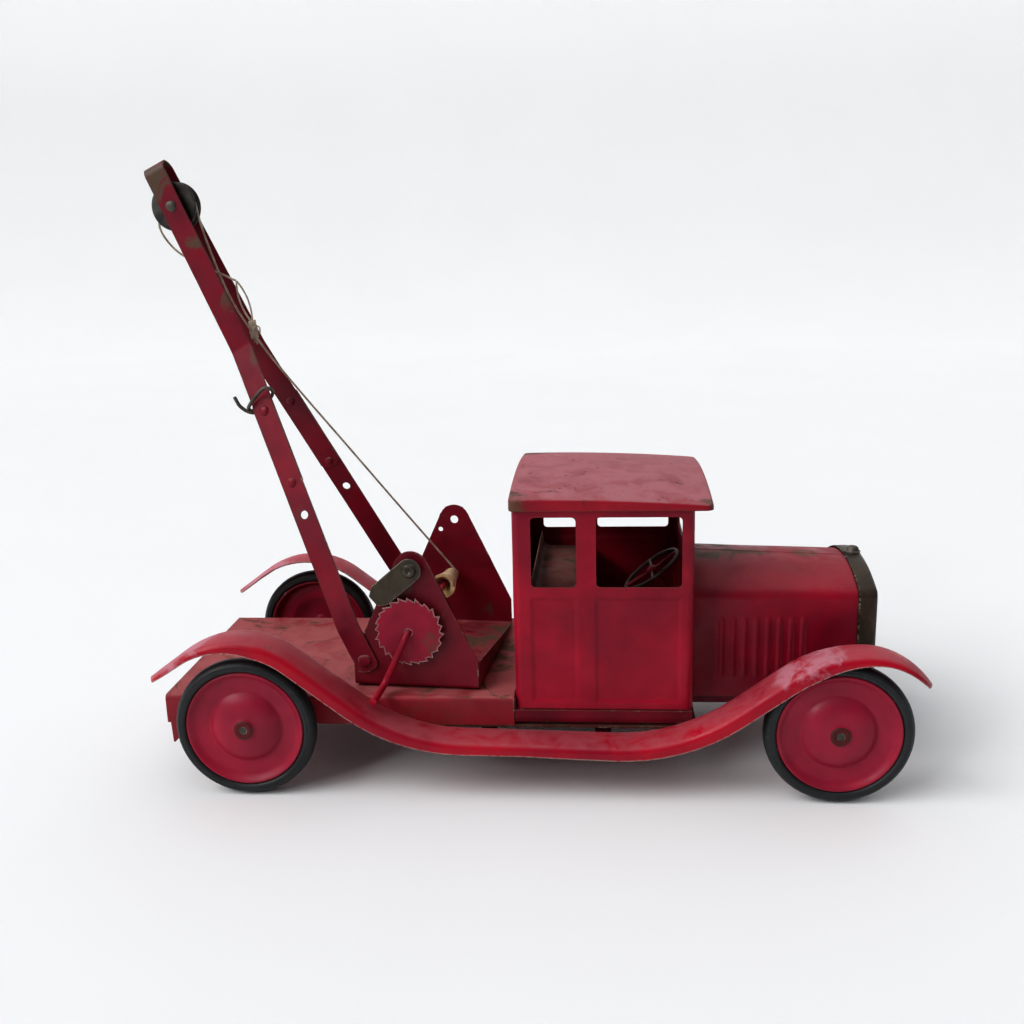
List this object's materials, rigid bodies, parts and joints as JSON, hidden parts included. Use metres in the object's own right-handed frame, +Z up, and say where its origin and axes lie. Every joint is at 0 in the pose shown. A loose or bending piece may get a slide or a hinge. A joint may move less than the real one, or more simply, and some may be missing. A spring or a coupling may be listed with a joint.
{
  "type": "toy crane lorry",
  "caption": "Pressed steel toy breakdown lorry: rolling wheels, open cab, slewing turret, luffing strap boom, ratchet winch with crank and pulley.",
  "frame": {"origin": "bottom centre of the bounding box, on the ground", "axes": "+X forward, +Y left, +Z up"},
  "size_m": [0.4902, 0.2028, 0.3916],
  "materials": {
    "red_enamel": "worn gloss",
    "dark_red_enamel": "worn satin",
    "brown_enamel": "worn satin",
    "olive_steel": "tarnished satin",
    "dark_steel": "tarnished",
    "black_rubber": "aged matte",
    "cord": "twisted cotton"
  },
  "bodies": {
    "chassis": {"frame_channel": "dark_red_enamel", "bed": "red_enamel", "bed_bearers": "dark_red_enamel", "guard_ties": "dark_red_enamel", "aprons": "dark_red_enamel", "guard_right": "red_enamel", "guard_left": "red_enamel", "cab_shell": "red_enamel", "cab_roof": "red_enamel", "seat": "brown_enamel", "steering_column": "red_enamel", "bonnet": "red_enamel", "radiator_shell": "olive_steel", "radiator_grille": "dark_steel", "radiator_cap": "dark_steel", "front_axle": "dark_steel", "rear_axle": "dark_steel", "axle_spacers": "dark_steel", "hub_caps": "olive_steel", "turntable_washer": "dark_steel", "turntable_rivet": "dark_steel"},
    "steering": {"steering_wheel": "dark_steel"},
    "wheel_fr": {"wheel_front_right": "red_enamel", "tyre_front_right": "black_rubber"},
    "wheel_fl": {"wheel_front_left": "red_enamel", "tyre_front_left": "black_rubber"},
    "wheel_rr": {"wheel_rear_right": "red_enamel", "tyre_rear_right": "black_rubber"},
    "wheel_rl": {"wheel_rear_left": "red_enamel", "tyre_rear_left": "black_rubber"},
    "turret": {"turret_frame": "red_enamel", "pawl_rivet": "dark_steel", "boom_pivots": "red_enamel"},
    "winch": {"winch_crank": "red_enamel", "ratchet_wheel": "red_enamel", "cord_coil": "cord", "winch_collar": "dark_steel"},
    "pawl": {"pawl": "olive_steel"},
    "boom": {"boom_strap": "red_enamel", "boom_leg_right": "red_enamel", "boom_leg_left": "red_enamel", "boom_rivets": "red_enamel", "pulley_pin": "dark_steel", "hook": "dark_steel", "cord": "cord"},
    "pulley": {"pulley": "dark_steel"}
  },
  "joints": [
    {"name": "wheel_fr_spin", "type": "hinge", "parent": "chassis", "child": "wheel_fr", "pos_m": [0.1906, -0.093, 0.0445], "axis": [0, 1, 0], "continuous": true},
    {"name": "wheel_fl_spin", "type": "hinge", "parent": "chassis", "child": "wheel_fl", "pos_m": [0.1906, 0.093, 0.0445], "axis": [0, 1, 0], "continuous": true},
    {"name": "wheel_rr_spin", "type": "hinge", "parent": "chassis", "child": "wheel_rr", "pos_m": [-0.1716, -0.093, 0.0445], "axis": [0, 1, 0], "continuous": true},
    {"name": "wheel_rl_spin", "type": "hinge", "parent": "chassis", "child": "wheel_rl", "pos_m": [-0.1716, 0.093, 0.0445], "axis": [0, 1, 0], "continuous": true},
    {"name": "steering_turn", "type": "hinge", "parent": "chassis", "child": "steering", "pos_m": [0.0833, 0, 0.1178], "axis": [-0.5821, 0, 0.8131], "range_deg": [-150, 150]},
    {"name": "turret_slew", "type": "hinge", "parent": "chassis", "child": "turret", "pos_m": [-0.0631, 0, 0.058], "axis": [0, 0, 1], "range_deg": [-3, 18]},
    {"name": "winch_turn", "type": "hinge", "parent": "turret", "child": "winch", "pos_m": [-0.06509, 0.00018, 0.0972], "axis": [0.0889, 0.996, 0], "continuous": true},
    {"name": "pawl_lift", "type": "hinge", "parent": "turret", "child": "pawl", "pos_m": [-0.06909, -0.06708, 0.1375], "axis": [0.0889, 0.996, 0], "range_deg": [0, 60]},
    {"name": "boom_luff", "type": "hinge", "parent": "turret", "child": "boom", "pos_m": [-0.09597, 0.00293, 0.075], "axis": [0.0889, 0.996, 0], "range_deg": [-38, 8], "deforming": ["cord"]},
    {"name": "pulley_spin", "type": "hinge", "parent": "boom", "child": "pulley", "pos_m": [-0.22625, 0.01456, 0.362], "axis": [0.0889, 0.996, 0], "continuous": true}
  ]
}
